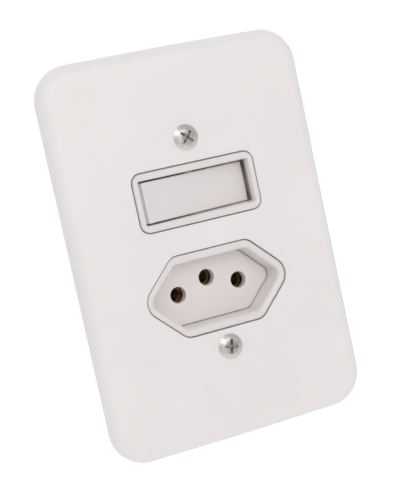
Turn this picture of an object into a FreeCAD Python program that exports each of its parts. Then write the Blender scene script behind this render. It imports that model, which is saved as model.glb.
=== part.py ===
import FreeCAD
import Part
import math
import os
import re
import Sketcher

# A wall plate with a rocker switch above a two-pole-and-earth socket, for an upright flush box.
# The wall is the plane y = 0, the front faces -Y, z points up and x points right as seen from the front.
# The origin is midway between the two box screws. Lengths are in millimetres, angles in degrees.

SIZES = [
    # cover plate
    ("plate_width", 78.3, "side to side"),
    ("plate_over", 6.1, "from the end of the yoke to the top or bottom edge"),
    ("plate_depth", 5, "from the wall to the front"),
    ("plate_wall", 1.8, "thickness of the moulding"),
    ("plate_corner", 10.2, "corner radius seen from the front"),
    ("plate_rounding", 3.6, "radius of the front edge"),
    ("plate_bow", 0.3, "how far the top and bottom edges swell at the middle"),
    ("bow_radius", 1200, "radius of that swell"),
    ("cavity_rounding", 1.5, "radius between the plate's front wall and its sides, inside"),
    ("rib_thickness", 1, "stiffening ribs behind the plate"),
    ("rib_height", 1.7, "how far the ribs stand back from the front wall"),
    ("rib_place", 32, "upright ribs, from the middle"),
    ("rib_margin", 10, "from the end of an upright rib to the plate's edge"),
    ("window_gap", 0.35, "between a window of the plate and what stands in it"),
    ("fit_gap", 0.2, "between mouldings that slide into each other"),
    ("seat_gap", 0.05, "between pieces that bear on each other"),
    ("lap", 0.5, "how far a feature is sunk in what carries it"),
    # plate screws
    ("screw_clearance", 0.2, "between a screw's boss and the flange next to it, which sets 60.3 mm"),
    ("screw_head", 7.2, "diameter"),
    ("screw_head_rise", 0.8, "height of the domed top"),
    ("screw_cone", 1.5, "depth of the countersunk part"),
    ("screw_shank", 3.4, "diameter"),
    ("screw_length", 10, "from the plate's front to the tip"),
    ("screw_point", 1, "length of the blunt point"),
    ("cross_length", 4.2, "recess in the head"),
    ("cross_width", 0.8, "recess in the head"),
    ("cross_depth", 1.3, "recess in the head, from its top"),
    ("cross_turn_top", 43, "turn of the top screw"),
    ("cross_turn_bottom", 12, "turn of the bottom screw"),
    ("boss_diameter", 7.6, "round the plate screws, behind the plate"),
    # mounting yoke
    ("strap_thickness", 1.2, "pressed steel"),
    ("strap_width", 58, "beside the windows"),
    ("ear_width", 34, "at the box screws"),
    ("shoulder_over", 2.85, "how far the wide part reaches past a plate screw"),
    ("strap_corner", 3, "corner radius"),
    ("screw_step", 11.5, "from a plate screw to the box screw beyond it, which sets 83.3 mm"),
    ("ear_reach", 8.35, "from a box screw to the end of the yoke"),
    ("slot_width", 4.2, "box screw slots"),
    ("slot_length", 7, "box screw slots, end to end"),
    ("tap_collar", 6, "diameter of the drawn collar at a tapped hole"),
    ("tap_depth", 1.8, "how far that collar stands back"),
    # switch: frame
    ("switch_rise", 14.6, "height of the switch's middle"),
    ("switch_window_length", 37.45, "in the plate"),
    ("switch_window_height", 17.2, "in the plate"),
    ("switch_window_corner", 3, "in the plate"),
    ("frame_proud", 0.55, "how far the frame stands out of the plate"),
    ("frame_rounding", 0.6, "outer front edge"),
    ("frame_end", 1.625, "thickness at the ends of the rocker's opening"),
    ("frame_side", 1.95, "thickness above and below the rocker's opening"),
    ("opening_corner", 0.5, "for the rocker"),
    ("opening_rounding", 0.4, "inner front edge"),
    ("opening_lean", 0.35, "how much the upper and lower walls of the opening lean in"),
    ("lean_depth", 4.5, "from the frame's front to the end of that lean"),
    ("end_lip", 2.6, "depth of the lip over the room at each end of the opening"),
    ("end_wall", 0.625, "left outside that room"),
    ("flange_over", 2.1, "how far a flange reaches past its window"),
    ("sleeve_depth", 3, "how far the frame reaches behind the wall plane"),
    ("leg_length", 5, "snap legs, behind the sleeve"),
    ("leg_thickness", 1.4, "snap legs"),
    ("leg_width", 6, "snap legs"),
    ("hook_reach", 0.8, "how far a hook stands out of its leg"),
    ("hook_start", 2.3, "from the root of the leg to its hook"),
    # switch: rocker
    ("rocker_end_gap", 0.45, "between the rocker and each end of its opening"),
    ("rocker_side_gap", 0.2, "above and below the rocker, past the lean of those walls"),
    ("rocker_wall", 1.5, "thickness of the moulding"),
    ("rocker_rounding", 0.45, "edges of the face"),
    ("end_step_gap", 0.15, "between the step below the face and each end of the opening"),
    ("end_step_drop", 1, "from the face to that step"),
    ("rocker_face", 2.4, "from the pivot to the face"),
    ("rocker_skirt", 1.5, "from the pivot to the back of the skirt"),
    ("rocker_tilt", 7.5, "each way from level"),
    ("rocker_axis_depth", 4.4, "from the plate's front to the pivot"),
    ("rocker_rib_place", 9, "cross ribs, from the pivot"),
    ("rocker_rib", 1, "thickness of a cross rib"),
    ("rib_short", 0.6, "from the back of a cross rib to the back of the skirt"),
    ("trunnion_diameter", 2.4, "pivot pins"),
    ("trunnion_length", 1.4, "pivot pins"),
    ("bearing_gap", 0.1, "between a trunnion and its bearing, all round"),
    ("lead_in", 1.9, "width of the slot that lets a trunnion snap in"),
    ("stem_width", 4.8, "square stem behind the rocker"),
    ("stem_corner", 0.8, "corner radius of the stem"),
    ("stem_reach", 6, "from the pivot to the end of the stem"),
    ("plunger_diameter", 2.6, "sprung pin in the stem"),
    ("plunger_reach", 9, "from the pivot to the tip"),
    ("plunger_length", 5.4, "without its spigot"),
    ("plunger_gap", 0.15, "between the plunger and its bore, all round"),
    ("spigot_diameter", 1.4, "centres the spring"),
    ("spigot_length", 0.9, "centres the spring"),
    ("spring_diameter", 2.5, "outside"),
    ("spring_wire", 0.35, "diameter"),
    ("spring_turns", 5, "count"),
    # switch: contacts
    ("tip_gap", 0.08, "between the plunger and the level lever"),
    ("lever_room", 1.6, "from the end of the lever to a terminal block"),
    ("lever_thickness", 1.2, "brass"),
    ("lever_width", 5, "brass"),
    ("lever_back", 0.35, "from the pivot to the back of the lever"),
    ("lever_swing", 8, "each way from level"),
    ("notch_width", 1.8, "that rides on the fulcrum"),
    ("notch_depth", 0.65, "that rides on the fulcrum"),
    ("contact_inset", 1.3, "from the end of the lever to the moving contact"),
    ("contact_head", 3, "diameter"),
    ("contact_height", 0.8, "head of the rivet"),
    ("contact_shank", 1.4, "diameter"),
    ("closed_gap", 0.1, "between the contacts when closed"),
    ("stop_gap", 0.15, "between the lever and its stop"),
    ("strip_thickness", 0.8, "brass of the terminals"),
    ("strip_width", 4.6, "brass of the terminals"),
    ("pillar_height", 1.3, "under the fixed contact's strip"),
    ("fulcrum_half", 1.8, "half the foot of the folded fulcrum"),
    ("fulcrum_tip", 0.5, "width of its blunt edge"),
    ("fulcrum_foot", 0.38, "reach of the strip beside the fulcrum, as a part of the lever's half"),
    # terminals of both devices
    ("block_width", 5.6, "terminal block, across the screw"),
    ("block_height", 6, "terminal block"),
    ("block_length", 6.2, "terminal block, along the wire"),
    ("block_room", 0.875, "between a block and the end wall of the switch's base"),
    ("wire_bore", 3, "diameter of the wire hole in a block"),
    ("wire_entry", 3.4, "diameter of the wire hole in a base"),
    ("terminal_screw", 3, "diameter"),
    ("terminal_head", 5, "diameter"),
    ("terminal_head_height", 1.8, "height"),
    ("terminal_lift", 1.2, "from the block to the underside of the head"),
    ("terminal_slot", 0.8, "driver slot"),
    ("terminal_edge", 0.3, "radius at the tip and the head of a terminal screw"),
    ("driver_hole", 5.6, "diameter of the opening for the driver"),
    # bases
    ("base_wall", 1.9, "side walls"),
    ("base_floor", 2.5, "back wall"),
    ("base_corner", 1.5, "outer corners"),
    ("guide_thickness", 1, "fins that hold a terminal block"),
    # socket: collar and core
    ("socket_drop", 13.2, "depth of the socket's middle below the origin"),
    ("socket_window_length", 47.4, "in the plate, between the sharp ends"),
    ("socket_window_height", 23.7, "in the plate"),
    ("window_end_corner", 5.2, "radius at the two ends"),
    ("window_side_corner", 4.4, "radius at the other four corners"),
    ("collar_sunk", 0.25, "how far the collar lies below the plate's front"),
    ("collar_rounding", 0.4, "outer front edge"),
    ("rim_width", 2.3, "between the collar's outside and the recess, at the top and bottom"),
    ("rim_end_width", 1.98, "the same at the four slanted sides"),
    ("rim_rounding", 1.2, "edge of the recess"),
    ("recess_depth", 7.4, "from the plate's front to the recess floor"),
    ("recess_taper", 0.4, "how much each wall leans in"),
    ("floor_side_corner", 2.8, "radius at the other four corners, at the back of the recess"),
    ("collar_flange_over", 1.1, "how far the flange reaches past the window"),
    ("core_flange", 1.6, "thickness of the core's flange"),
    ("core_over", 1, "how far that flange reaches past the recess"),
    ("seam", 0.1, "round the core in the recess"),
    ("face_thickness", 2.9, "recess floor at the pin holes"),
    ("pin_spacing", 19, "between the two poles"),
    ("earth_offset", 3, "from the line of the poles up to the earth"),
    ("pin_hole", 4.7, "diameter"),
    ("pin_hole_rounding", 0.25, "edge of a pin hole"),
    ("sleeve_room", 7.4, "diameter of the room behind a pin hole"),
    # socket: contacts
    ("pin_bore", 4.1, "inside of a contact sleeve"),
    ("sleeve_wall", 0.7, "brass"),
    ("sleeve_length", 14, "brass"),
    ("sleeve_setback", 0.8, "from the core to a sleeve"),
    ("sleeve_slit", 0.7, "width"),
    ("slit_length", 10.5, "along the sleeve"),
    ("block_offset", 7.7, "from a pin to its terminal block"),
    ("clip_wall", 0.5, "spring steel"),
    ("clip_width", 3, "spring steel"),
    ("clip_place", 2, "from the mouth of the sleeve"),
    ("clip_opening", 1.6, "width of the ring's split"),
    ("chamber_gap", 0.4, "round the contacts in their chambers"),
    ("socket_base_over", 2.2, "how far the base reaches past the collar"),
]

# Places that follow from the sizes above, as formulas in their names.
PLACES = {
    "switch_top": "switch_rise + switch_window_height / 2 + flange_over",
    "socket_bottom": "socket_drop + socket_window_height / 2 + collar_flange_over",
    "screw_place": "max(switch_top; socket_bottom) + screw_clearance + boss_diameter / 2",
    "screw_spacing": "2 * screw_place",
    "box_spacing": "screw_spacing + 2 * screw_step",
    "strap_length": "box_spacing + 2 * ear_reach",
    "shoulder_height": "screw_spacing + 2 * shoulder_over",
    "plate_height": "strap_length + 2 * plate_over",
    "rib_length": "plate_height - 2 * rib_margin",
    "plate_inside": "plate_wall - plate_depth",
    "strap_front": "-strap_thickness",
    "flange_front": "plate_inside + fit_gap",
    "flange_back": "strap_front",
    "frame_front": "-plate_depth - frame_proud",
    "frame_length": "switch_window_length - 2 * window_gap",
    "frame_height": "switch_window_height - 2 * window_gap",
    "frame_corner": "switch_window_corner - window_gap",
    "frame_flange_length": "switch_window_length + 2 * flange_over",
    "frame_flange_height": "switch_window_height + 2 * flange_over",
    "leg_end": "sleeve_depth + leg_length",
    "opening_length": "frame_length - 2 * frame_end",
    "opening_height": "frame_height - 2 * frame_side",
    "throat_height": "opening_height - 2 * opening_lean",
    "rocker_length": "opening_length - 2 * rocker_end_gap",
    "rocker_height": "throat_height - 2 * rocker_side_gap",
    "rocker_axis": "rocker_axis_depth - plate_depth",
    "bore_end": "rocker_wall - rocker_face + seat_gap",
    "lever_half": "block_inner - lever_room",
    "contact_place": "lever_half - contact_inset",
    "plunger_back": "plunger_reach - plunger_length",
    "lever_front": "lever_thickness - lever_back",
    "pivot": "rocker_axis + plunger_reach + tip_gap + lever_front",
    "contact_reach": "lever_back + contact_height",
    "fixed_face": "pivot + (contact_place + contact_head / 2) * sin(lever_swing)"
    " + contact_reach * cos(lever_swing) + closed_gap",
    "fixed_place": "contact_place * cos(lever_swing) - contact_reach * sin(lever_swing)",
    "fixed_strip": "fixed_face + contact_height",
    "switch_floor": "fixed_strip + strip_thickness + pillar_height",
    "switch_back": "switch_floor + base_floor",
    "rest_stop": "pivot + lever_half * sin(lever_swing) + lever_back * cos(lever_swing) + stop_gap",
    "foot_front": "switch_floor - seat_gap - strip_thickness",
    "switch_block_front": "switch_floor - seat_gap - block_length",
    "block_place": "switch_mouth_length / 2 - block_room - block_width / 2",
    "block_inner": "block_place - block_width / 2",
    "block_outer": "block_place + block_width / 2",
    "switch_mouth_length": "frame_length + 2 * fit_gap",
    "switch_mouth_height": "frame_height + 2 * fit_gap",
    "switch_base_length": "switch_mouth_length + 2 * base_wall",
    "switch_base_height": "switch_mouth_height + 2 * base_wall",
    "collar_front": "collar_sunk - plate_depth",
    "collar_length": "socket_window_length - 2 * sqrt(2) * window_gap",
    "collar_height": "socket_window_height - 2 * window_gap",
    "collar_end_corner": "window_end_corner - window_gap",
    "collar_side_corner": "window_side_corner - window_gap",
    "collar_shoulder": "(collar_length - collar_height) / 2",
    "recess_length": "collar_length - 2 * sqrt(2) * rim_end_width",
    "recess_height": "collar_height - 2 * rim_width",
    "recess_end_corner": "collar_end_corner - rim_width",
    "recess_side_corner": "collar_side_corner - rim_width",
    "floor_length": "recess_length - 2 * sqrt(2) * recess_taper",
    "floor_height": "recess_height - 2 * recess_taper",
    "recess_floor": "recess_depth - plate_depth",
    "collar_back": "recess_floor + face_thickness",
    "core_back": "collar_back + seat_gap + core_flange",
    "core_length": "floor_length + 2 * sqrt(2) * core_over",
    "core_height": "floor_height + 2 * core_over",
    "contact_front": "core_back + sleeve_setback",
    "contact_back": "contact_front + sleeve_length",
    "chamber_back": "contact_back + seat_gap",
    "socket_back": "chamber_back + base_floor",
    "socket_block_front": "contact_back - block_length",
    "sleeve_outside": "pin_bore + 2 * sleeve_wall",
    "clip_outside": "sleeve_outside + 2 * seat_gap + 2 * clip_wall",
    "block_end": "block_offset + block_width / 2",
    "socket_base_length": "collar_length + 2 * socket_base_over",
    "socket_base_height": "collar_height + 2 * base_wall",
}

doc = FreeCAD.newDocument("switch_and_socket")
sizes = doc.addObject("Spreadsheet::Sheet", "sizes")
for row, (alias, value, note) in enumerate(SIZES, 1):
    sizes.set(f"A{row}", alias)
    sizes.set(f"B{row}", str(value))
    sizes.set(f"C{row}", note)
    sizes.setAlias(f"B{row}", alias)
doc.recompute()

ALIASES = {alias for alias, value, note in SIZES}
NEAR = 1e-4
SUBPARTS = []


def formula(text):
    """The expression that FreeCAD reads: places are spelled out, and sizes are named in their sheet."""

    def spell(match):
        word = match.group(0)
        if word in PLACES:
            return f"({formula(PLACES[word])})"
        return f"sizes.{word}" if word in ALIASES else word

    return re.sub(r"[a-z_]+", spell, str(text))


def number(text):
    """The value of an expression now."""
    return float(sizes.evalExpression(formula(text)))


def bind(item, prop, text):
    item.setExpression(prop, formula(text))


def new_body(name):
    body = doc.addObject("PartDesign::Body", name)
    body.Label = name
    SUBPARTS.append(body)
    return body


def set_place(item, x="0", y="0", z="0", axis=(0, 0, 1), angle="0"):
    """Put a finished sub-part at (x, y, z), turned about an axis, with both tied to the sizes."""
    rotation = FreeCAD.Rotation(FreeCAD.Vector(*axis), number(angle))
    item.Placement = FreeCAD.Placement(FreeCAD.Vector(number(x), number(y), number(z)), rotation)
    for prop, text in (("x", x), ("y", y), ("z", z)):
        bind(item, f"Placement.Base.{prop}", text)
    if number(angle):
        bind(item, "Placement.Rotation.Angle", angle)


def new_sketch(body, name, plane, place, shift="0"):
    """A sketch on one of the body's own origin planes, moved along its normal to a global place."""
    sketch = body.newObject("Sketcher::SketchObject", name)
    support = next(item for item in body.Origin.OriginFeatures if item.Role == plane)
    sketch.AttachmentSupport = [(support, "")]
    sketch.MapMode = "FlatFace"
    sign = "-" if plane == "XZ_Plane" else ""
    bind(sketch, "AttachmentOffset.Base.z", f"{sign}({place})")
    bind(sketch, "AttachmentOffset.Base.x", shift)
    return sketch


def fix_point(sketch, geometry, point, u, v):
    """Dimension a point from the sketch's origin."""
    for kind, text in (("DistanceX", u), ("DistanceY", v)):
        constraint = sketch.addConstraint(Sketcher.Constraint(kind, -1, 1, geometry, point, number(text)))
        bind(sketch, f"Constraints[{constraint}]", text)


def fix_radius(sketch, geometry, text):
    constraint = sketch.addConstraint(Sketcher.Constraint("Radius", geometry, number(text)))
    bind(sketch, f"Constraints[{constraint}]", text)


def circle(u, v, diameter):
    """A loop for extrude: a circle about (u, v)."""

    def draw(sketch):
        centre = FreeCAD.Vector(number(u), number(v), 0)
        shape = Part.Circle(centre, FreeCAD.Vector(0, 0, 1), number(diameter) / 2)
        geometry = sketch.addGeometry(shape)
        fix_point(sketch, geometry, 3, u, v)
        fix_radius(sketch, geometry, f"({diameter}) / 2")

    return draw


def add_bend(sketch, vertex, last, following, radius):
    """Round a corner from the point last to the point following, always drawn counter-clockwise.

    Returns the arc, and which of its ends meets the last side and which the following one.
    """
    toward = ((last + following) / 2 - vertex).normalize()
    centre = vertex + toward * math.hypot(radius, (last - vertex).Length)
    angles = [math.atan2(point.y - centre.y, point.x - centre.x) for point in (last, following)]
    forward = (angles[1] - angles[0]) % (2 * math.pi) < math.pi
    low, high = angles if forward else reversed(angles)
    high += 2 * math.pi if high < low else 0
    shape = Part.Circle(centre, FreeCAD.Vector(0, 0, 1), radius)
    bend = sketch.addGeometry(Part.ArcOfCircle(shape, low, high))
    return (bend, 1, 2) if forward else (bend, 2, 1)


def polygon(*corners):
    """A loop for extrude: straight sides between corners (u, v), or (u, v, radius) for a rounded one."""

    def draw(sketch):
        sharp = [FreeCAD.Vector(number(corner[0]), number(corner[1]), 0) for corner in corners]
        radii = [number(corner[2]) if len(corner) > 2 else 0.0 for corner in corners]
        starts, ends = [], []
        for here, point in enumerate(sharp):
            to_last = (sharp[here - 1] - point).normalize()
            to_next = (sharp[(here + 1) % len(sharp)] - point).normalize()
            reach = radii[here] / math.tan(to_last.getAngle(to_next) / 2)
            ends.append(point + to_last * reach)
            starts.append(point + to_next * reach)
        count = len(sharp)
        lines = [
            sketch.addGeometry(Part.LineSegment(starts[here], ends[(here + 1) % count]))
            for here in range(count)
        ]
        for here, corner in enumerate(corners):
            last, following = lines[here - 1], lines[here]
            if not radii[here]:
                sketch.addConstraint(Sketcher.Constraint("Coincident", last, 2, following, 1))
                fix_point(sketch, following, 1, corner[0], corner[1])
                continue
            bend, first, second = add_bend(sketch, sharp[here], ends[here], starts[here], radii[here])
            vertex = sketch.addGeometry(Part.Point(sharp[here]), True)
            fix_point(sketch, vertex, 1, corner[0], corner[1])
            sketch.addConstraint(Sketcher.Constraint("PointOnObject", vertex, 1, last))
            sketch.addConstraint(Sketcher.Constraint("PointOnObject", vertex, 1, following))
            sketch.addConstraint(Sketcher.Constraint("Tangent", last, 2, bend, first))
            sketch.addConstraint(Sketcher.Constraint("Tangent", bend, second, following, 1))
            fix_radius(sketch, bend, corner[2])

    return draw


def rectangle(length, height, corner=None, u="0", v="0"):
    """A loop: a rectangle about (u, v), with rounded corners if a radius is given."""
    end = () if corner is None else (corner,)
    half_u, half_v = f"({length}) / 2", f"({height}) / 2"
    signs = (("-", "-"), ("+", "-"), ("+", "+"), ("-", "+"))
    return polygon(*[(f"{u} {a} {half_u}", f"{v} {b} {half_v}") + end for a, b in signs])


def upright_slot(width, length, v):
    """A loop: two upright sides joined by half circles, about (0, v)."""

    def draw(sketch):
        radius, half = number(width) / 2, (number(length) - number(width)) / 2
        middle = number(v)
        sides = []
        for u in (radius, -radius):
            reach = math.copysign(half, u)
            low, high = (FreeCAD.Vector(u, middle + sign * reach, 0) for sign in (-1, 1))
            sides.append(sketch.addGeometry(Part.LineSegment(low, high)))
        for turn_start, last, following, sign in ((0, 0, 1, "+"), (math.pi, 1, 0, "-")):
            text = f"{v} {sign} (({length}) - ({width})) / 2"
            shape = Part.Circle(FreeCAD.Vector(0, number(text), 0), FreeCAD.Vector(0, 0, 1), radius)
            end = sketch.addGeometry(Part.ArcOfCircle(shape, turn_start, turn_start + math.pi))
            fix_point(sketch, end, 3, "0", text)
            fix_radius(sketch, end, f"({width}) / 2")
            sketch.addConstraint(Sketcher.Constraint("Tangent", sides[last], 2, end, 1))
            sketch.addConstraint(Sketcher.Constraint("Tangent", end, 2, sides[following], 1))

    return draw


def span(low_u, high_u, low_v, high_v):
    """A loop: a plain rectangle between two pairs of limits."""
    return polygon((low_u, low_v), (high_u, low_v), (high_u, high_v), (low_u, high_v))


def hexagon(length, height, end_corner, side_corner):
    """A loop: six sides whose ends come to right angles, rounded."""
    half, top = f"({length}) / 2", f"({height}) / 2"
    shoulder = f"(({length}) - ({height})) / 2"
    return polygon(
        (half, "0", end_corner),
        (shoulder, top, side_corner),
        (f"-{shoulder}", top, side_corner),
        (f"-({half})", "0", end_corner),
        (f"-{shoulder}", f"-{top}", side_corner),
        (shoulder, f"-{top}", side_corner),
    )


def extrude(body, kind, name, loops, low, high, plane="XZ_Plane"):
    """A Pad or Pocket of the loops between two places along the plane's normal, low to high."""
    from_high = (kind == "Pad") == (plane == "XZ_Plane")
    sketch = new_sketch(body, f"{name}_sketch", plane, high if from_high else low)
    for draw in loops:
        draw(sketch)
    feature = body.newObject(f"PartDesign::{kind}", name)
    feature.Profile = sketch
    bind(feature, "Length", f"({high}) - ({low})")
    return feature


def pad(body, name, loops, low, high, plane="XZ_Plane"):
    return extrude(body, "Pad", name, loops, low, high, plane)


def pocket(body, name, loops, low, high, plane="XZ_Plane"):
    """Cut the loops out, and make sure that the cut took something away."""
    doc.recompute()
    before = body.Shape.Volume
    feature = extrude(body, "Pocket", name, loops, low, high, plane)
    doc.recompute()
    if before - body.Shape.Volume < NEAR:
        raise RuntimeError(f"{name} cuts nothing")
    return feature


def cut_between(body, name, front_loop, front, back_loop, back):
    """Cut a straight-sided hollow that changes from one loop to another."""
    sketches = []
    for word, loop, place in (("front", front_loop, front), ("back", back_loop, back)):
        sketch = new_sketch(body, f"{name}_{word}", "XZ_Plane", place)
        loop(sketch)
        sketches.append(sketch)
    feature = body.newObject("PartDesign::SubtractiveLoft", name)
    feature.Profile = sketches[0]
    feature.Sections = [sketches[1]]
    feature.Ruled = True


def turn(body, kind, name, corners, shift="0", height="0"):
    """A Revolution or Groove of a half section (radius, y) about a line along y."""
    sketch = new_sketch(body, f"{name}_sketch", "XY_Plane", height, shift)
    polygon(*corners)(sketch)
    feature = body.newObject(f"PartDesign::{kind}", name)
    feature.Profile = sketch
    feature.ReferenceAxis = (sketch, ["V_Axis"])
    feature.Angle = 360
    return feature


def fillet(body, name, radius, keep):
    """Round the edges of the body so far for which keep(edge) is true."""
    doc.recompute()
    base = body.Tip
    names = [f"Edge{index}" for index, edge in enumerate(base.Shape.Edges, 1) if keep(edge)]
    feature = body.newObject("PartDesign::Fillet", name)
    feature.Base = (base, names)
    bind(feature, "Radius", radius)
    return feature


def at_depth(edge, place):
    """Whether an edge lies in the plane y = place."""
    box = edge.BoundBox
    return abs(box.YMin - number(place)) < NEAR and abs(box.YMax - number(place)) < NEAR


def inside(edge, half_length, half_height):
    """Whether an edge's middle lies within a rectangle about the body's origin, in x and z."""
    middle = edge.BoundBox.Center
    return abs(middle.x) < number(half_length) + NEAR and abs(middle.z) < number(half_height) + NEAR


def fillet_front(body, name, radius, place, half_length, half_height, outer=False):
    """Round the edges of a front face that lie within a rectangle, or those outside it."""

    def keep(edge):
        return at_depth(edge, place) and inside(edge, half_length, half_height) != outer

    fillet(body, name, radius, keep)


def plate_outline(inset):
    """The plate's outline, set in by a wall: straight sides, and a slight swell at the top and bottom."""
    half, low = f"plate_width / 2 - {inset}", f"plate_height / 2 - {inset}"
    peak = f"plate_height / 2 - {inset} + plate_bow"
    corner = f"plate_corner - {inset}"
    return polygon(
        (half, f"-({low})", corner),
        (half, low, corner),
        ("0", peak, "bow_radius"),
        (f"-({half})", low, corner),
        (f"-({half})", f"-({low})", corner),
        ("0", f"-({peak})", "bow_radius"),
    )


def make_plate():
    body = new_body("cover_plate")
    pad(body, "plate_block", [plate_outline("0")], "-plate_depth", "0")
    fillet(body, "plate_edge", "plate_rounding", lambda edge: at_depth(edge, "-plate_depth"))
    pocket(body, "plate_cavity", [plate_outline("plate_wall")], "plate_inside", "0")
    fillet(body, "cavity_edge", "cavity_rounding", lambda edge: at_depth(edge, "plate_inside"))
    ribs = []
    for side in ("-", "+"):
        low, high = f"{side}rib_place - rib_thickness / 2", f"{side}rib_place + rib_thickness / 2"
        ribs.append(span(low, high, "-rib_length / 2", "rib_length / 2"))
    pad(body, "upright_ribs", ribs, "plate_inside", "plate_inside + rib_height")
    for side, word in (("+", "top"), ("-", "bottom")):
        height = f"{side}screw_spacing / 2"
        edge = "plate_width / 2 - plate_wall"
        cross = span(f"-({edge})", edge, f"{height} - rib_thickness / 2", f"{height} + rib_thickness / 2")
        pad(body, f"{word}_rib", [cross], "plate_inside", "plate_inside + rib_height")
        boss = [circle("0", height, "boss_diameter")]
        pad(body, f"{word}_boss", boss, "plate_inside", "strap_front - seat_gap")
    for side, word in (("+", "top"), ("-", "bottom")):
        half, wide = "screw_shank / 2 + seat_gap * 2", "screw_head / 2 + seat_gap"
        section = [
            ("0", "-plate_depth - lap"),
            (wide, "-plate_depth - lap"),
            (wide, "-plate_depth"),
            (half, "screw_cone - plate_depth"),
            (half, "0"),
            ("0", "0"),
        ]
        turn(body, "Groove", f"{word}_hole", section, height=f"{side}screw_spacing / 2")
    window = rectangle(
        "switch_window_length", "switch_window_height", "switch_window_corner", v="switch_rise"
    )
    pocket(body, "switch_window", [window], "-plate_depth", "0")
    pocket(body, "socket_window", [socket_outline_in_plate()], "-plate_depth", "0")


def socket_outline_in_plate():
    """The six-sided window, drawn about the socket's middle in the plate."""
    half, top = "socket_window_length / 2", "socket_window_height / 2"
    shoulder = "(socket_window_length - socket_window_height) / 2"
    upper, lower = f"{top} - socket_drop", f"-{top} - socket_drop"
    return polygon(
        (half, "-socket_drop", "window_end_corner"),
        (shoulder, upper, "window_side_corner"),
        (f"-{shoulder}", upper, "window_side_corner"),
        (f"-{half}", "-socket_drop", "window_end_corner"),
        (f"-{shoulder}", lower, "window_side_corner"),
        (shoulder, lower, "window_side_corner"),
    )


def make_plate_screw(name, side, angle):
    """A raised countersunk screw, drawn with its axis along y and its head towards -Y."""
    body = new_body(name)
    top = "-plate_depth - screw_head_rise"
    section = [
        ("0", top),
        ("screw_head * 0.3", top, "screw_head * 0.45"),
        ("screw_head / 2", "-plate_depth"),
        ("screw_shank / 2", "screw_cone - plate_depth"),
        ("screw_shank / 2", "screw_length - plate_depth - screw_point"),
        ("screw_shank / 4", "screw_length - plate_depth"),
        ("0", "screw_length - plate_depth"),
    ]
    turn(body, "Revolution", f"{name}_turned", section)
    bottom = f"{top} + cross_depth"
    pocket(body, f"{name}_wide_slot", [rectangle("cross_length", "cross_width")], top, bottom)
    pocket(body, f"{name}_tall_slot", [rectangle("cross_width", "cross_length")], top, bottom)
    set_place(body, z=f"{side}screw_spacing / 2", axis=(0, 1, 0), angle=angle)


def make_yoke():
    body = new_body("mounting_yoke")
    half, ear = "strap_width / 2", "ear_width / 2"
    shoulder, end = "shoulder_height / 2", "strap_length / 2"
    quarter = [(half, shoulder), (ear, shoulder), (ear, end)]
    corners = [(u, v, "strap_corner") for u, v in quarter]
    corners += [(f"-{u}", v, "strap_corner") for u, v in reversed(quarter)]
    corners += [(f"-{u}", f"-{v}", "strap_corner") for u, v in quarter]
    corners += [(u, f"-{v}", "strap_corner") for u, v in reversed(quarter)]
    pad(body, "strap", [polygon(*corners)], "strap_front", "0")
    heights = [f"{side}screw_spacing / 2" for side in ("+", "-")]
    pad(body, "tap_collars", [circle("0", height, "tap_collar") for height in heights], "0", "tap_depth")
    holes = [circle("0", height, "screw_shank + 2 * seat_gap") for height in heights]
    pocket(body, "tapped_holes", holes, "strap_front", "tap_depth")
    slots = [upright_slot("slot_width", "slot_length", f"{side}box_spacing / 2") for side in ("+", "-")]
    pocket(body, "box_slots", slots, "strap_front", "0")
    opening = rectangle("switch_mouth_length", "switch_mouth_height", "frame_corner", v="switch_rise")
    pocket(body, "switch_opening", [opening], "strap_front", "0")
    half, top = "collar_length / 2 + sqrt(2) * fit_gap", "collar_height / 2 + fit_gap"
    corners = [(half, "0"), ("collar_shoulder", top), ("-collar_shoulder", top)]
    corners += [(f"-({u})", f"-({v})") for u, v in corners]
    opening = polygon(*[(u, f"{v} - socket_drop", "collar_side_corner") for u, v in corners])
    pocket(body, "socket_opening", [opening], "strap_front", "0")


def snap_leg(side, root, start):
    """A loop in depth and reach: a leg whose hook points outwards, for a wall that faces that way."""
    outer, hook = f"({root})", f"({root}) + hook_reach"
    inner = f"({root}) - leg_thickness"
    return [
        (f"{side}({inner})", f"{start} - lap"),
        (f"{side}{outer}", f"{start} - lap"),
        (f"{side}{outer}", f"{start} + hook_start"),
        (f"{side}({hook})", f"{start} + hook_start"),
        (f"{side}{outer}", f"{start} + leg_length"),
        (f"{side}({inner})", f"{start} + leg_length"),
    ]


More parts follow.
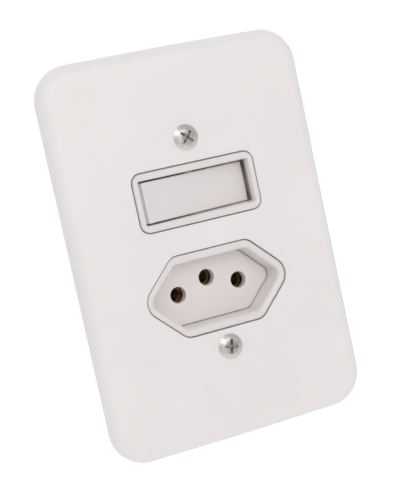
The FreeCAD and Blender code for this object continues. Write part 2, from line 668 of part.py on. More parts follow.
def make_switch_frame():
    body = new_body("switch_frame")
    sleeve = rectangle("frame_length", "frame_height", "frame_corner")
    pad(body, "sleeve", [sleeve], "frame_front", "sleeve_depth")
    flange = rectangle("frame_flange_length", "frame_flange_height", "switch_window_corner")
    pad(body, "flange", [flange], "flange_front", "flange_back")
    opening = rectangle("opening_length", "opening_height", "opening_corner")
    throat = rectangle("opening_length", "throat_height", "opening_corner")
    throat_front = "frame_front + lean_depth"
    cut_between(body, "opening", opening, "frame_front", throat, throat_front)
    pocket(body, "throat", [throat], throat_front, "sleeve_depth")
    half = "frame_length / 2 - end_wall"
    rooms = [span(f"-({half})", half, "-throat_height / 2", "throat_height / 2")]
    pocket(body, "end_rooms", rooms, "frame_front + end_lip", "sleeve_depth")
    half, top = "opening_length / 2", "opening_height / 2"
    fillet_front(body, "inner_edge", "opening_rounding", "frame_front", half, top)
    half, top = f"{half} + opening_rounding", f"{top} + opening_rounding"
    fillet_front(body, "outer_edge", "frame_rounding", "frame_front", half, top, outer=True)
    for side, word in (("+", "right"), ("-", "left")):
        leg = polygon(*snap_leg(side, "frame_length / 2", "sleeve_depth"))
        pad(body, f"{word}_leg", [leg], "-leg_width / 2", "leg_width / 2", "XY_Plane")
    bearing_end = "rocker_height / 2 + trunnion_length + bearing_gap"
    bearing = [circle("0", "rocker_axis", "trunnion_diameter + 2 * bearing_gap")]
    pocket(body, "bearings", bearing, f"-({bearing_end})", bearing_end, "XY_Plane")
    slot = [span("-lead_in / 2", "lead_in / 2", "rocker_axis", "sleeve_depth")]
    pocket(body, "lead_ins", slot, f"-({bearing_end})", bearing_end, "XY_Plane")
    set_place(body, z="switch_rise")


def make_rocker():
    """Drawn level about its pivot, with its face towards -Y, and then tilted with the right end in."""
    body = new_body("rocker")
    inner_length, inner_height = "rocker_length - 2 * rocker_wall", "rocker_height - 2 * rocker_wall"
    outline = rectangle("rocker_length", "rocker_height", "rocker_rounding")
    pad(body, "shell", [outline], "-rocker_face", "rocker_skirt")
    fillet(body, "face_edge", "rocker_rounding", lambda edge: at_depth(edge, "-rocker_face"))
    stepped = rectangle("opening_length - 2 * end_step_gap", "rocker_height", "rocker_rounding")
    pad(body, "end_steps", [stepped], "end_step_drop - rocker_face", "rocker_skirt")
    inner_face = "rocker_wall - rocker_face"
    pocket(body, "hollow", [rectangle(inner_length, inner_height)], inner_face, "rocker_skirt")
    half = f"({inner_height}) / 2 + lap"
    ribs = [
        span(f"{place} - rocker_rib / 2", f"{place} + rocker_rib / 2", f"-({half})", half)
        for place in ("rocker_rib_place", "-rocker_rib_place")
    ]
    pad(body, "cross_ribs", ribs, f"{inner_face} - lap", "rocker_skirt - rib_short")
    stem = rectangle("stem_width", "stem_width", "stem_corner")
    pad(body, "stem", [stem], f"{inner_face} - lap", "stem_reach")
    bore = [circle("0", "0", "plunger_diameter + 2 * plunger_gap")]
    pocket(body, "stem_bore", bore, "bore_end", "stem_reach")
    for side, word in (("+", "top"), ("-", "bottom")):
        root, tip = "rocker_height / 2 - rocker_wall / 2", "rocker_height / 2 + trunnion_length"
        low, high = (root, tip) if side == "+" else (f"-({tip})", f"-({root})")
        pad(body, f"{word}_trunnion", [circle("0", "0", "trunnion_diameter")], low, high, "XY_Plane")
    set_place(body, y="rocker_axis", z="switch_rise", angle="rocker_tilt")


def make_plunger():
    body = new_body("rocker_plunger")
    half = "plunger_diameter / 2"
    section = [
        ("0", "plunger_back - spigot_length"),
        ("spigot_diameter / 2", "plunger_back - spigot_length"),
        ("spigot_diameter / 2", "plunger_back"),
        (half, "plunger_back"),
        (half, "plunger_reach", f"{half} * 0.92"),
        ("0", "plunger_reach"),
    ]
    turn(body, "Revolution", "plunger_turned", section)
    set_place(body, y="rocker_axis", z="switch_rise", angle="rocker_tilt")


def make_plunger_spring():
    """A coil between the end of the bore and the plunger, swept along a helix."""
    start = "bore_end + spring_wire / 2 + seat_gap"
    length = f"plunger_back - spring_wire / 2 - seat_gap - ({start})"
    helix = doc.addObject("Part::Helix", "spring_line")
    bind(helix, "Height", length)
    bind(helix, "Pitch", f"({length}) / spring_turns")
    radius = "(spring_diameter - spring_wire) / 2"
    bind(helix, "Radius", radius)
    wire = doc.addObject("Part::Circle", "spring_section")
    bind(wire, "Radius", "spring_wire / 2")
    across = FreeCAD.Rotation(FreeCAD.Vector(1, 0, 0), 90)
    wire.Placement = FreeCAD.Placement(FreeCAD.Vector(number(radius), 0, 0), across)
    bind(wire, "Placement.Base.x", radius)
    doc.recompute()
    coil = doc.addObject("Part::Sweep", "plunger_spring")
    coil.Sections = [wire]
    coil.Spine = (helix, [f"Edge{index + 1}" for index in range(len(helix.Shape.Edges))])
    coil.Solid = True
    coil.Frenet = True
    coil.Label = "plunger_spring"
    along = FreeCAD.Rotation(FreeCAD.Vector(1, 0, 0), -90)
    tilt = FreeCAD.Rotation(FreeCAD.Vector(0, 0, 1), number("rocker_tilt"))
    reach = tilt.multVec(FreeCAD.Vector(0, number(start), 0))
    base = FreeCAD.Vector(0, number("rocker_axis"), number("switch_rise")) + reach
    coil.Placement = FreeCAD.Placement(base, tilt * along)
    bind(coil, "Placement.Base.x", f"-({start}) * sin(rocker_tilt)")
    bind(coil, "Placement.Base.y", f"rocker_axis + ({start}) * cos(rocker_tilt)")
    bind(coil, "Placement.Base.z", "switch_rise")
    SUBPARTS.append(coil)


def rivet_section(face, head_end, shank_end):
    """A half section about y: a slightly domed head from face to head_end, and a shank."""
    return [
        ("0", face),
        ("contact_head / 2", face, "contact_height * 0.3"),
        ("contact_head / 2", head_end),
        ("contact_shank / 2", head_end),
        ("contact_shank / 2", shank_end),
        ("0", shank_end),
    ]


def make_lever():
    """Drawn level about its pivot, and then rocked so that its left end is back, behind the plunger."""
    body = new_body("contact_lever")
    profile = polygon(
        ("-lever_half", "-lever_front"),
        ("lever_half", "-lever_front"),
        ("lever_half", "lever_back"),
        ("notch_width / 2", "lever_back"),
        ("0", "lever_back - notch_depth"),
        ("-notch_width / 2", "lever_back"),
        ("-lever_half", "lever_back"),
    )
    pad(body, "lever_strip", [profile], "-lever_width / 2", "lever_width / 2", "XY_Plane")
    hole = [circle("contact_place", "0", "contact_shank + 2 * seat_gap")]
    pocket(body, "rivet_hole", hole, "-lever_front", "lever_back")
    set_place(body, y="pivot", z="switch_rise", angle="-lever_swing")
    rivet = new_body("moving_contact")
    section = rivet_section("contact_reach", "lever_back + seat_gap", "-lever_front")
    turn(rivet, "Revolution", "moving_rivet", section, shift="contact_place")
    set_place(rivet, y="pivot", z="switch_rise", angle="-lever_swing")


def make_switch_terminals():
    common = new_body("common_terminal")
    thick = "strip_thickness"
    profile = polygon(
        ("-block_inner", "rest_stop"),
        ("-lever_half * 0.7", "rest_stop"),
        ("-lever_half * fulcrum_foot", "foot_front"),
        ("-fulcrum_half", "foot_front"),
        ("-fulcrum_tip / 2", "pivot"),
        ("fulcrum_tip / 2", "pivot"),
        ("fulcrum_half", "foot_front"),
        ("lever_half * fulcrum_foot", "foot_front"),
        ("lever_half * fulcrum_foot", f"foot_front + {thick}"),
        (f"fulcrum_half - {thick}", f"foot_front + {thick}"),
        ("0", f"pivot + {thick} * 3"),
        (f"{thick} - fulcrum_half", f"foot_front + {thick}"),
        (f"-lever_half * fulcrum_foot - {thick} * 0.6", f"foot_front + {thick}"),
        (f"-lever_half * 0.7 - {thick} * 0.6", f"rest_stop + {thick}"),
        ("-block_inner", f"rest_stop + {thick}"),
    )
    pad(common, "folded_strip", [profile], "-strip_width / 2", "strip_width / 2", "XY_Plane")
    switched = new_body("switched_terminal")
    profile = span("fixed_place - contact_head / 2", "block_inner", "fixed_strip", f"fixed_strip + {thick}")
    pad(switched, "strip", [profile], "-strip_width / 2", "strip_width / 2", "XY_Plane")
    hole = [circle("fixed_place", "0", "contact_shank + 2 * seat_gap")]
    pocket(switched, "rivet_hole", hole, "fixed_strip", f"fixed_strip + {thick}")
    for body, side in ((common, "-"), (switched, "+")):
        low, high = ("-block_outer", "-block_inner") if side == "-" else ("block_inner", "block_outer")
        front, back = "switch_block_front", "switch_floor - seat_gap"
        block = span(low, high, "-block_height / 2", "block_height / 2")
        pad(body, "block", [block], front, back)
        pocket(body, "wire_bore", [circle(f"{side}block_place", "0", "wire_bore")], front, back)
        centre = "switch_block_front + block_length / 2"
        thread = [circle(f"{side}block_place", centre, "terminal_screw + 2 * seat_gap")]
        pocket(body, "screw_bore", thread, "0", "block_height / 2", "XY_Plane")
        set_place(body, z="switch_rise")
    rivet = new_body("fixed_contact")
    section = rivet_section("fixed_face", "fixed_strip - seat_gap", f"fixed_strip + {thick}")
    turn(rivet, "Revolution", "fixed_rivet", section, shift="fixed_place")
    set_place(rivet, z="switch_rise")


def make_terminal_screw(name, x, y, z, axis, angle):
    """A slotted screw drawn with its head towards +Y and its tip at the origin, then turned into place."""
    body = new_body(name)
    under = "block_height / 2 - wire_bore / 2 + terminal_lift - seat_gap"
    top = f"{under} + terminal_head_height"
    section = [
        ("0", "0"),
        ("terminal_screw / 2", "0", "terminal_edge"),
        ("terminal_screw / 2", under),
        ("terminal_head / 2", under),
        ("terminal_head / 2", top, "terminal_edge"),
        ("0", top),
    ]
    turn(body, "Revolution", f"{name}_turned", section)
    slot = [rectangle("terminal_head", "terminal_slot")]
    pocket(body, f"{name}_slot", slot, f"{top} - terminal_head_height / 2", top)
    set_place(body, x, y, z, axis, angle)


def make_switch_base():
    body = new_body("switch_base")
    outline = rectangle("switch_base_length", "switch_base_height", "base_corner")
    pad(body, "box", [outline], "0", "switch_back")
    fillet(body, "back_edge", "base_corner * 0.6", lambda edge: at_depth(edge, "switch_back"))
    mouth = rectangle("switch_mouth_length", "switch_mouth_height", "frame_corner")
    pocket(body, "mouth", [mouth], "0", "switch_floor")
    pillar = [rectangle("contact_head + 2 * lap", "strip_width", u="fixed_place")]
    pad(body, "pillar", pillar, "switch_floor - pillar_height + seat_gap", "switch_floor")
    guides = []
    for side in ("+", "-"):
        for up in ("+", "-"):
            low, high = "block_height / 2 + fit_gap", "block_height / 2 + fit_gap + guide_thickness"
            inner, outer = f"{side}block_inner", f"{side}switch_mouth_length / 2"
            guides.append(span(inner, outer, f"{up}({low})", f"{up}({high})"))
    pad(body, "block_guides", guides, "switch_block_front + block_length / 2", "switch_floor")
    entries = [circle(f"{side}block_place", "0", "wire_entry") for side in ("+", "-")]
    pocket(body, "wire_entries", entries, "switch_floor", "switch_back")
    centre = "switch_block_front + block_length / 2"
    drivers = [circle(f"{side}block_place", centre, "driver_hole") for side in ("+", "-")]
    pocket(body, "driver_holes", drivers, "block_height / 2 + fit_gap", "switch_base_height / 2", "XY_Plane")
    half = "leg_width / 2 + fit_gap"
    window = span("sleeve_depth + hook_start - fit_gap", "leg_end + fit_gap", f"-({half})", half)
    inner, outer = "switch_mouth_length / 2", "switch_base_length / 2"
    pocket(body, "right_window", [window], inner, outer, "YZ_Plane")
    pocket(body, "left_window", [window], f"-{outer}", f"-{inner}", "YZ_Plane")
    set_place(body, z="switch_rise")


def make_collar():
    body = new_body("socket_collar")
    outline = hexagon("collar_length", "collar_height", "collar_end_corner", "collar_side_corner")
    pad(body, "collar_wall", [outline], "collar_front", "collar_back")
    fillet(body, "collar_edge", "collar_rounding", lambda edge: at_depth(edge, "collar_front"))
    over = "collar_flange_over"
    flange = hexagon(
        f"socket_window_length + 2 * sqrt(2) * {over}",
        f"socket_window_height + 2 * {over}",
        f"window_end_corner + {over}",
        f"window_side_corner + {over}",
    )
    pad(body, "collar_flange", [flange], "flange_front", "flange_back")
    mouth = hexagon("recess_length", "recess_height", "recess_end_corner", "recess_side_corner")
    floor = hexagon("floor_length", "floor_height", "recess_end_corner", "floor_side_corner")
    cut_between(body, "recess", mouth, "collar_front", floor, "collar_back")
    half, top = "recess_length / 2", "recess_height / 2"
    fillet_front(body, "recess_edge", "rim_rounding", "collar_front", half, top)
    for side, word in (("+", "top"), ("-", "bottom")):
        corners = [(v, u) for u, v in snap_leg(side, "collar_height / 2", "collar_back")]
        pad(body, f"{word}_leg", [polygon(*corners)], "-leg_width / 2", "leg_width / 2", "YZ_Plane")
    set_place(body, z="-socket_drop")


def make_core():
    body = new_body("socket_core")
    length, height = "floor_length - 2 * sqrt(2) * seam", "floor_height - 2 * seam"
    land = hexagon(length, height, "recess_end_corner", "floor_side_corner")
    pad(body, "land", [land], "recess_floor", "collar_back + seat_gap")
    flange = hexagon("core_length", "core_height", "recess_end_corner", "recess_side_corner")
    pad(body, "core_plate", [flange], "collar_back + seat_gap", "core_back")
    places = pin_places()
    pocket(body, "pin_holes", [circle(u, v, "pin_hole") for u, v in places], "recess_floor", "core_back")
    rooms = [circle(u, v, "sleeve_room") for u, v in places]
    pocket(body, "sleeve_rooms", rooms, "collar_back", "core_back")
    rim = number("pin_hole") / 2

    def is_hole_edge(edge):
        round_edge = isinstance(edge.Curve, Part.Circle) and abs(edge.Curve.Radius - rim) < NEAR
        return at_depth(edge, "recess_floor") and round_edge

    fillet(body, "hole_edges", "pin_hole_rounding", is_hole_edge)
    set_place(body, z="-socket_drop")


def pin_places():
    """The three pin axes about the socket's middle."""
    return [("-pin_spacing / 2", "0"), ("pin_spacing / 2", "0"), ("0", "earth_offset")]


# Each contact is drawn with its pin at the origin and its terminal block towards +X,
# and is then turned about y: towards the left end, the right end, and down.
POLES = [
    ("left", "-pin_spacing / 2", "-socket_drop", 180),
    ("right", "pin_spacing / 2", "-socket_drop", 0),
    ("earth", "0", "earth_offset - socket_drop", 90),
]


def make_contact(pole, x, z, angle):
    body = new_body(f"{pole}_contact")
    sleeve = [circle("0", "0", "sleeve_outside")]
    pad(body, "sleeve", sleeve, "contact_front", "contact_back")
    block = span("block_offset - block_width / 2", "block_end", "-block_height / 2", "block_height / 2")
    pad(body, "block", [block], "socket_block_front", "contact_back")
    near, far = "sleeve_outside / 2 - sleeve_wall / 2", "block_offset - block_width / 2"
    tail = span(near, far, "-strip_thickness / 2", "strip_thickness / 2")
    pad(body, "tail", [tail], "socket_block_front", "contact_back")
    bores = [circle("0", "0", "pin_bore"), circle("block_offset", "0", "wire_bore")]
    pocket(body, "bores", bores, "contact_front", "contact_back")
    slit = span("-sleeve_outside / 2 - lap", "0", "-sleeve_slit / 2", "sleeve_slit / 2")
    pocket(body, "slit", [slit], "contact_front", "contact_front + slit_length")
    centre = "socket_block_front + block_length / 2"
    thread = [circle(centre, "0", "terminal_screw + 2 * seat_gap")]
    pocket(body, "screw_bore", thread, "block_offset", "block_end", "YZ_Plane")
    set_place(body, x=x, z=z, axis=(0, 1, 0), angle=str(angle))
    clip = new_body(f"{pole}_clip")
    front = "contact_front + clip_place"
    pad(clip, "ring", [circle("0", "0", "clip_outside")], front, f"{front} + clip_width")
    pocket(clip, "hole", [circle("0", "0", "sleeve_outside + 2 * seat_gap")], front, f"{front} + clip_width")
    split = span("0", "clip_outside", "-clip_opening / 2", "clip_opening / 2")
    pocket(clip, "split", [split], front, f"{front} + clip_width")
    set_place(clip, x=x, z=z, axis=(0, 1, 0), angle=str(angle))


def make_socket_screws():
    depth = "socket_block_front + block_length / 2"
    reach = "block_offset + wire_bore / 2 + seat_gap"
    make_terminal_screw("left_screw", f"-pin_spacing / 2 - ({reach})", depth, "-socket_drop", (0, 0, 1), "90")
    make_terminal_screw("right_screw", f"pin_spacing / 2 + {reach}", depth, "-socket_drop", (0, 0, 1), "-90")
    height = f"earth_offset - socket_drop - ({reach})"
    make_terminal_screw("earth_screw", "0", depth, height, (1, 0, 0), "-90")


def make_switch_screws():
    depth = "switch_block_front + block_length / 2"
    height = "switch_rise + wire_bore / 2 + seat_gap"
    for name, side in (("common_screw", "-"), ("switched_screw", "+")):
        make_terminal_screw(name, f"{side}block_place", depth, height, (1, 0, 0), "90")


def make_socket_base():
    body = new_body("socket_base")
    outline = rectangle("socket_base_length", "socket_base_height", "base_corner * 2")
    pad(body, "box", [outline], "0", "socket_back")
    fillet(body, "back_edge", "base_corner * 0.6", lambda edge: at_depth(edge, "socket_back"))
    half, top = "collar_length / 2 + sqrt(2) * fit_gap", "collar_height / 2 + fit_gap"
    corners = [(half, "0"), ("collar_shoulder", top), ("-collar_shoulder", top)]
    corners += [(f"-({u})", f"-({v})") for u, v in corners]
    mouth = polygon(*[(u, v, "collar_side_corner") for u, v in corners])
    pocket(body, "mouth", [mouth], "0", "core_back + seat_gap")
    gap, room = "chamber_gap", "clip_outside / 2 + chamber_gap"
    for pole, side in (("left", "-"), ("right", "+")):
        near = f"{side}(pin_spacing / 2 - ({room}))"
        far = f"{side}(pin_spacing / 2 + block_end + {gap})"
        chamber = span(near, far, f"-({room})", room)
        pocket(body, f"{pole}_chamber", [chamber], "core_back", "chamber_back")
    chamber = span(f"-({room})", room, f"earth_offset - block_end - {gap}", f"earth_offset + {room}")
    pocket(body, "earth_chamber", [chamber], "core_back", "chamber_back")
    entries = [circle(f"{side}(pin_spacing / 2 + block_offset)", "0", "wire_entry") for side in ("+", "-")]
    entries.append(circle("0", "earth_offset - block_offset", "wire_entry"))
    pocket(body, "wire_entries", entries, "chamber_back", "socket_back")
    depth = "socket_block_front + block_length / 2"
    inner, outer = "pin_spacing / 2 + block_end", "socket_base_length / 2"
    driver = [circle(depth, "0", "driver_hole")]
    pocket(body, "right_driver", driver, inner, outer, "YZ_Plane")
    pocket(body, "left_driver", driver, f"-({outer})", f"-({inner})", "YZ_Plane")
    driver = [circle("0", depth, "driver_hole")]
    low, high = "-socket_base_height / 2", "earth_offset - block_end"
    pocket(body, "earth_driver", driver, low, high, "XY_Plane")
    half, root = "leg_width / 2 + fit_gap", "collar_height / 2"
    legs = [
        span(f"-({half})", half, f"{side}({root} - leg_thickness - fit_gap)", f"{side}({root} + fit_gap)")
        for side in ("+", "-")
    ]
    pocket(body, "leg_rooms", legs, "0", "collar_back + leg_length + fit_gap")
    start, end = "collar_back + hook_start - fit_gap", "collar_back + leg_length + fit_gap"
    window = [span(f"-({half})", half, start, end)]
    pocket(body, "top_window", window, root, "socket_base_height / 2", "XY_Plane")
    pocket(body, "bottom_window", window, "-socket_base_height / 2", f"-{root}", "XY_Plane")
    set_place(body, z="-socket_drop")


def check_and_export():
    """Stop at any failed object, then write each sub-part's solid to its own file."""
    doc.recompute()
    for item in doc.Objects:
        if "Invalid" in item.State or "Error" in item.State:
            raise RuntimeError(f"{item.Name} failed: {item.State}")
    os.makedirs("parts", exist_ok=True)
    for item in SUBPARTS:
        if item.Shape.isNull() or not item.Shape.isValid():
            raise RuntimeError(f"{item.Label} has no valid shape")
        item.Shape.exportStep(f"parts/{item.Label}.step")
        print(f"{item.Label}: {len(item.Shape.Solids)} solid, {item.Shape.Volume:.1f} mm3")


make_plate()
make_plate_screw("plate_screw_top", "+", "cross_turn_top")
make_plate_screw("plate_screw_bottom", "-", "cross_turn_bottom")
make_yoke()
make_switch_frame()
make_rocker()
make_plunger()
make_plunger_spring()
make_lever()
make_switch_terminals()
make_switch_screws()
make_switch_base()
make_collar()
make_core()
for pole_name, pole_x, pole_z, pole_angle in POLES:
    make_contact(pole_name, pole_x, pole_z, pole_angle)
make_socket_screws()
make_socket_base()
check_and_export()
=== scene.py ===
"""Looks of the switch and socket combination: materials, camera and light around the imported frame.

Everything is in metres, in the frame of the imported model. The wall is y = 0, the front faces -Y
and Z is up. Colours are given as 0 to 255 on a screen.
"""
import math

import bpy
from mathutils import Matrix, Vector


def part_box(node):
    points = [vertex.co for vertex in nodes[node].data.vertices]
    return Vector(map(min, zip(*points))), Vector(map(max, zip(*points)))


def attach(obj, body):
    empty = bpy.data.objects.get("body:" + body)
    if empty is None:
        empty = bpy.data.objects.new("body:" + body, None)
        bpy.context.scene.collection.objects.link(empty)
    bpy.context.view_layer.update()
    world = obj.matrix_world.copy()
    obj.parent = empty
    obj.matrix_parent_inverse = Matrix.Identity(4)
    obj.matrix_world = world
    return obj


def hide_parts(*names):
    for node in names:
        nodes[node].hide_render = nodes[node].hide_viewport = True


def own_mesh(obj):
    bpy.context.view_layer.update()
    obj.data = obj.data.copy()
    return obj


MM = 0.001

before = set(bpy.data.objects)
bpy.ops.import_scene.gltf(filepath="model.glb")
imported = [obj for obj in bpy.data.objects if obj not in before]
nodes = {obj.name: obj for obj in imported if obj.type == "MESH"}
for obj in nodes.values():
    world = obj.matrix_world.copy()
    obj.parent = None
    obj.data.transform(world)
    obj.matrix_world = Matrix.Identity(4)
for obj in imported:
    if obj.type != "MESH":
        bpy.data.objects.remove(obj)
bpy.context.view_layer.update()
scene = bpy.context.scene


# Camera
CAMERA_PLACE = Vector((-123.8, -328.2, 28.3)) * MM
CAMERA_AIM = Vector((-0.3, -5.0, -2.1)) * MM
CAMERA_ROLL = math.radians(12.14)
FOCAL_PIXELS = 1234.8
FRAME_PIXELS = 500
SENSOR = 36.0
NEAREST = 0.01
FARTHEST = 50


def add_camera():
    """The photograph's view: from the left and a little above, with the camera rolled."""
    data = bpy.data.cameras.new("camera")
    data.sensor_width = SENSOR
    data.lens = FOCAL_PIXELS * SENSOR / FRAME_PIXELS
    data.clip_start = NEAREST
    data.clip_end = FARTHEST
    camera = bpy.data.objects.new("camera", data)
    look = (CAMERA_AIM - CAMERA_PLACE).to_track_quat("-Z", "Y").to_matrix().to_4x4()
    roll = Matrix.Rotation(-CAMERA_ROLL, 4, "Z")
    camera.matrix_world = Matrix.Translation(CAMERA_PLACE) @ look @ roll
    scene.collection.objects.link(camera)
    scene.camera = camera


# Materials

# Grains of the noise, in cycles per metre
FLOW = 45
RIPPLE = 60
PATCHES = 120
SHINE = 160
METAL_GRAIN = 700
SKIN = 900
NOISE_ROUGHNESS = 0.55

# Where a blend starts and ends on the noise that it follows
MIDDLE = (0.3, 0.7)
PATCH_SPAN = (0.35, 0.62)
# Span of the painted shade towards the middle of the screw heads
SHADE_SPAN = (0.5, 0.95)

# Depths of the bumps
FINE = 0.004 * MM
COARSE = 0.02 * MM

# Plastics
FLOW_SHADE = 3
TRANSLUCENCE = 0.3
SCATTER = 1.5 * MM
SCATTER_TINT = (1, 0.95, 0.9)

# Painted shade on the plate screws: darker and duller towards the middle of each head
SHADE_REACH = 4.2 * MM
SHADE_PATCHES = 0.6


def linear(red, green, blue):
    """A screen colour as the linear values that a shader takes."""

    def channel(value):
        value /= 255
        return value / 12.92 if value <= 0.04045 else ((value + 0.055) / 1.055) ** 2.4

    return (channel(red), channel(green), channel(blue), 1.0)


class Shader:
    """A material's node tree, with short calls that add and join nodes."""

    def __init__(self, name):
        self.material = bpy.data.materials.new(name)
        self.material.use_nodes = True
        self.tree = self.material.node_tree
        self.surface = self.tree.nodes["Principled BSDF"]
        self.place = self.add("ShaderNodeTexCoord").outputs["Object"]

    def add(self, kind, **settings):
        node = self.tree.nodes.new(kind)
        for name, value in settings.items():
            setattr(node, name, value)
        return node

    def join(self, output, target):
        self.tree.links.new(output, target)

    def noise(self, scale, detail=4.0, stretch=(1, 1, 1)):
        """Noise with grains of about 1 / scale metres, drawn out where stretch is below 1."""
        mapping = self.add("ShaderNodeMapping")
        mapping.inputs["Scale"].default_value = [scale * share for share in stretch]
        self.join(self.place, mapping.inputs["Vector"])
        noise = self.add("ShaderNodeTexNoise")
        noise.inputs["Scale"].default_value = 1.0
        noise.inputs["Detail"].default_value = detail
        noise.inputs["Roughness"].default_value = NOISE_ROUGHNESS
        self.join(mapping.outputs["Vector"], noise.inputs["Vector"])
        return noise.outputs["Fac"]

    def ramp(self, factor, span, ends, target):
        """Joins a blend to the surface: from one end to the other as factor goes through span."""
        ramp = self.add("ShaderNodeValToRGB")
        for element, position, value in zip(ramp.color_ramp.elements, span, ends):
            element.position = position
            element.color = value
        self.join(factor, ramp.inputs["Fac"])
        self.join(ramp.outputs["Color"], self.surface.inputs[target])

    def colour(self, factor, low, high, span=MIDDLE):
        self.ramp(factor, span, (linear(*low), linear(*high)), "Base Color")

    def roughness(self, factor, gloss, low, high, span=MIDDLE):
        """Roughness from low to high, both counted from gloss."""
        greys = [(gloss + change,) * 3 + (1.0,) for change in (low, high)]
        self.ramp(factor, span, greys, "Roughness")

    def bump(self, factor, depth, after=None):
        """A bump of that depth, laid on top of an earlier one."""
        bump = self.add("ShaderNodeBump")
        bump.inputs["Strength"].default_value = 1.0
        bump.inputs["Distance"].default_value = depth
        self.join(factor, bump.inputs["Height"])
        if after is not None:
            self.join(after, bump.inputs["Normal"])
        self.join(bump.outputs["Normal"], self.surface.inputs["Normal"])
        return bump.outputs["Normal"]

    def calculate(self, operation, *values):
        """A calculation with outputs and plain numbers."""
        node = self.add("ShaderNodeMath", operation=operation)
        for value, target in zip(values, node.inputs):
            if isinstance(value, bpy.types.NodeSocket):
                self.join(value, target)
            else:
                target.default_value = value
        return node.outputs["Value"]


def moulded(name, shade, gloss=0.32, grain=FINE):
    """A moulded plastic: nearly even colour, a faint flow pattern, and a very fine skin."""
    shader = Shader(name)
    darker = [value - FLOW_SHADE for value in shade]
    shader.colour(shader.noise(FLOW, detail=3), darker, shade)
    shader.roughness(shader.noise(SHINE), gloss, low=-0.04, high=0.05)
    skin = shader.bump(shader.noise(SKIN, detail=2), grain)
    shader.bump(shader.noise(RIPPLE, detail=1), 2 * grain, after=skin)
    shader.surface.inputs["Subsurface Weight"].default_value = TRANSLUCENCE
    shader.surface.inputs["Subsurface Scale"].default_value = SCATTER
    shader.surface.inputs["Subsurface Radius"].default_value = SCATTER_TINT
    return shader.material


def plated(name, shade, dark, gloss=0.3, stretch=(1, 1, 1)):
    """A plated or drawn metal, with a grain that may run one way, and duller patches."""
    shader = Shader(name)
    shader.colour(shader.noise(PATCHES, detail=6), dark, shade, PATCH_SPAN)
    grain = shader.noise(METAL_GRAIN, stretch=stretch)
    shader.roughness(grain, gloss, low=-0.07, high=0.1)
    shader.bump(grain, FINE)
    shader.surface.inputs["Metallic"].default_value = 1.0
    return shader.material


def shaded_heads(name, shade, middle_shade, gloss=0.35):
    """Metal of the plate screws, with painted shade: darker and duller towards the middle of each
    head, around the cross recess.
    """
    shader = Shader(name)
    low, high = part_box("plate_screw_top")
    split = shader.add("ShaderNodeSeparateXYZ")
    shader.join(shader.place, split.inputs["Vector"])
    height = shader.calculate("ABSOLUTE", split.outputs["Z"])
    face = shader.add("ShaderNodeCombineXYZ")
    shader.join(split.outputs["X"], face.inputs["X"])
    shader.join(shader.calculate("SUBTRACT", height, (low.z + high.z) / 2), face.inputs["Y"])
    radius = shader.add("ShaderNodeVectorMath", operation="LENGTH")
    shader.join(face.outputs["Vector"], radius.inputs[0])
    reach = shader.add("ShaderNodeMapRange")
    reach.inputs["From Max"].default_value = SHADE_REACH
    shader.join(radius.outputs["Value"], reach.inputs["Value"])
    patches = shader.noise(SKIN, detail=5)
    painted_shade_mask = shader.calculate("MULTIPLY_ADD", patches, SHADE_PATCHES, reach.outputs["Result"])
    # Painted shade: the colour darkens towards the middle of each screw head
    shader.colour(painted_shade_mask, middle_shade, shade, SHADE_SPAN)
    shader.roughness(painted_shade_mask, gloss, low=0.12, high=-0.03, span=SHADE_SPAN)
    shader.bump(shader.noise(METAL_GRAIN), FINE)
    shader.surface.inputs["Metallic"].default_value = 1.0
    return shader.material


def dress(material, *names):
    """Gives the material to these nodes."""
    for name in names:
        for slot in nodes[name].material_slots:
            slot.material = material


def add_plastics():
    plate = (241, 237, 236)
    device = (232, 227, 226)
    core = (230, 224, 223)
    grey = (176, 178, 180)
    natural = (226, 218, 196)
    dress(moulded("plate_plastic", plate), "cover_plate")
    dress(moulded("frame_plastic", device), "switch_frame")
    dress(moulded("rocker_plastic", device), "rocker")
    dress(moulded("collar_plastic", device), "socket_collar")
    dress(moulded("core_plastic", core, gloss=0.45), "socket_core")
    dress(moulded("base_plastic", grey, gloss=0.55, grain=COARSE), "switch_base", "socket_base")
    dress(moulded("plunger_plastic", natural, gloss=0.4), "rocker_plunger")


def add_metals():
    zinc = plated("zinc_plate", (196, 199, 203), (168, 172, 178), gloss=0.38)
    dress(zinc, "mounting_yoke")
    # The screw heads get painted shade towards their middle
    nickel = shaded_heads("nickel_screws", (211, 208, 205), (158, 154, 150))
    dress(nickel, "plate_screw_top", "plate_screw_bottom")
    terminal = plated("terminal_screws", (190, 192, 196), (150, 153, 158), gloss=0.34)
    dress(terminal, "common_screw", "switched_screw")
    dress(terminal, "left_screw", "right_screw", "earth_screw")
    drawn = (1, 0.2, 1)
    spring = plated("spring_wire", (170, 172, 176), (120, 122, 126), gloss=0.28, stretch=drawn)
    dress(spring, "plunger_spring", "left_clip", "right_clip", "earth_clip")
    rolled = (0.15, 1, 1)
    brass = plated("brass_strip", (222, 188, 112), (186, 146, 76), stretch=rolled)
    dress(brass, "contact_lever", "common_terminal", "switched_terminal")
    dress(brass, "left_contact", "right_contact", "earth_contact")
    silver = plated("silver_rivets", (226, 226, 224), (190, 188, 184), gloss=0.25)
    dress(silver, "moving_contact", "fixed_contact")


# Spring
def add_spring():
    """The plunger's spring, as a copy of its node with a mesh of its own, hung on the rocker's body.
    """
    mesh = nodes["plunger_spring"].data.copy()
    coil = bpy.data.objects.new("plunger_coil", mesh)
    scene.collection.objects.link(coil)
    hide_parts("plunger_spring")
    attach(coil, "rocker")
    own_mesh(coil)


# Surroundings
FLOOR_DROP = 0.25
FLOOR_SIZE = 30.0
FLOOR_SHADE = (0.9, 0.9, 0.9, 1)
FLOOR_ROUGHNESS = 0.9
FLOOR_GLOW = 0.6

DOME_BELOW = 1.1
DOME_ABOVE = 0.65
DOME_BEHIND = 0.28
BEHIND_FULL = 0.5
BACKDROP = 1.05
WHITE = (1, 1, 1, 1)


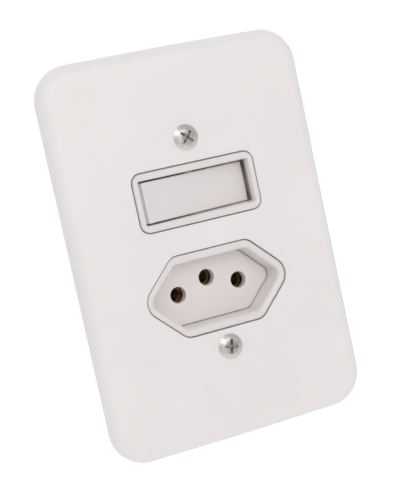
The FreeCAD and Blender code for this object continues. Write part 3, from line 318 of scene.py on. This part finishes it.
def add_floor():
    """A pale level floor well below the plate."""
    data = bpy.data.meshes.new("floor")
    half = FLOOR_SIZE / 2
    corners = [(-half, -half, 0), (half, -half, 0), (half, half, 0), (-half, half, 0)]
    data.from_pydata(corners, [], [(0, 1, 2, 3)])
    floor = bpy.data.objects.new("floor", data)
    floor.location.z = -FLOOR_DROP
    scene.collection.objects.link(floor)
    material = bpy.data.materials.new("floor_paper")
    material.use_nodes = True
    surface = material.node_tree.nodes["Principled BSDF"]
    surface.inputs["Base Color"].default_value = FLOOR_SHADE
    surface.inputs["Roughness"].default_value = FLOOR_ROUGHNESS
    surface.inputs["Emission Color"].default_value = WHITE
    surface.inputs["Emission Strength"].default_value = FLOOR_GLOW
    data.materials.append(material)
    floor.visible_diffuse = False
    floor.visible_glossy = False


def add_world():
    """White to the camera, and as light a soft dome, brighter from below and from behind."""
    world = bpy.data.worlds.new("studio")
    world.use_nodes = True
    scene.world = world
    tree = world.node_tree
    tree.nodes.clear()
    direction = tree.nodes.new("ShaderNodeTexCoord").outputs["Generated"]
    split = tree.nodes.new("ShaderNodeSeparateXYZ")
    tree.links.new(direction, split.inputs["Vector"])

    def strength(axis, start, end, low, high):
        """From low to high as the direction's share along an axis goes from start to end."""
        node = tree.nodes.new("ShaderNodeMapRange")
        limits = {"From Min": start, "From Max": end, "To Min": low, "To Max": high}
        for name, value in limits.items():
            node.inputs[name].default_value = value
        tree.links.new(split.outputs[axis], node.inputs["Value"])
        return node.outputs["Result"]

    def background():
        node = tree.nodes.new("ShaderNodeBackground")
        node.inputs["Color"].default_value = WHITE
        return node

    total = tree.nodes.new("ShaderNodeMath")
    total.operation = "ADD"
    tree.links.new(strength("Z", -1, 0, DOME_BELOW, DOME_ABOVE), total.inputs[0])
    tree.links.new(strength("Y", 0, BEHIND_FULL, 0, DOME_BEHIND), total.inputs[1])
    dome = background()
    tree.links.new(total.outputs["Value"], dome.inputs["Strength"])
    backdrop = background()
    backdrop.inputs["Strength"].default_value = BACKDROP
    seen = tree.nodes.new("ShaderNodeLightPath").outputs["Is Camera Ray"]
    mix = tree.nodes.new("ShaderNodeMixShader")
    tree.links.new(seen, mix.inputs["Fac"])
    tree.links.new(dome.outputs["Background"], mix.inputs[1])
    tree.links.new(backdrop.outputs["Background"], mix.inputs[2])
    output = tree.nodes.new("ShaderNodeOutputWorld")
    tree.links.new(mix.outputs["Shader"], output.inputs["Surface"])


def add_light(name, place, size, power):
    """A round lamp that is turned towards the middle of the plate."""
    data = bpy.data.lights.new(name, "AREA")
    data.shape = "DISK"
    data.size = size
    data.energy = power
    light = bpy.data.objects.new(name, data)
    place = Vector(place)
    turn = (-place).to_track_quat("-Z", "Y").to_matrix().to_4x4()
    light.matrix_world = Matrix.Translation(place) @ turn
    scene.collection.objects.link(light)


scene.view_settings.view_transform = "Standard"
add_camera()
add_floor()
add_world()
add_light("key", place=(0.1, -2.05, 0.45), size=1.6, power=8.8)
add_light("fill", place=(-0.9, -1.5, 1.1), size=1.2, power=4.7)
add_plastics()
add_metals()
add_spring()
